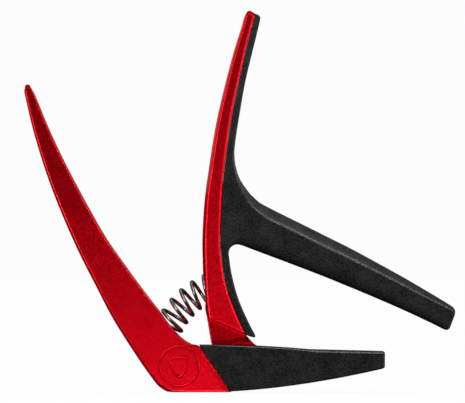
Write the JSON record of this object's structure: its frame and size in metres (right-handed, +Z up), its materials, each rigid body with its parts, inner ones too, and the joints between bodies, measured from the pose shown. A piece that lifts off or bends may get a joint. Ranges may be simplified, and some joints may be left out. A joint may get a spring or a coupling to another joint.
{
  "type": "guitar capo",
  "caption": "Spring-clamp guitar capo: two squeeze handles on one hinge open a padded string bar and a neck arm, and a coil spring closes them.",
  "frame": {"origin": "the middle of the bounding box's base, on the surface that the flat of the elbow stands on", "axes": "+X from the handles to the jaw tips, +Z up, +Y along the hinge pin away from the side with the emblem"},
  "size_m": [0.1576, 0.015, 0.1394],
  "materials": {
    "red_paint": "satin red metallic lacquer over die-cast aluminium",
    "black_rubber": "fine-grained matte black silicone rubber",
    "spring_steel": "bright nickel-plated steel wire",
    "bush_bronze": "plain sintered bronze",
    "washer_nylon": "natural nylon"
  },
  "bodies": {
    "frame": {"lower_frame": "red_paint", "string_pad_sleeve": "black_rubber", "pivot_pin": "spring_steel", "return_spring": "spring_steel", "thrust_washer_front": "washer_nylon", "thrust_washer_back": "washer_nylon"},
    "lever": {"upper_lever": "red_paint", "neck_arm_cover": "black_rubber", "pivot_bush": "bush_bronze"}
  },
  "joints": [
    {"name": "jaw_hinge", "type": "hinge", "parent": "frame", "child": "lever", "pos_m": [0.00135, 0, 0.0105], "axis": [0, -1, 0], "range_deg": [0, 28], "stiffness_Nm_per_rad": 2.5, "springref_deg": -17.19, "deforming": ["return_spring"]}
  ]
}
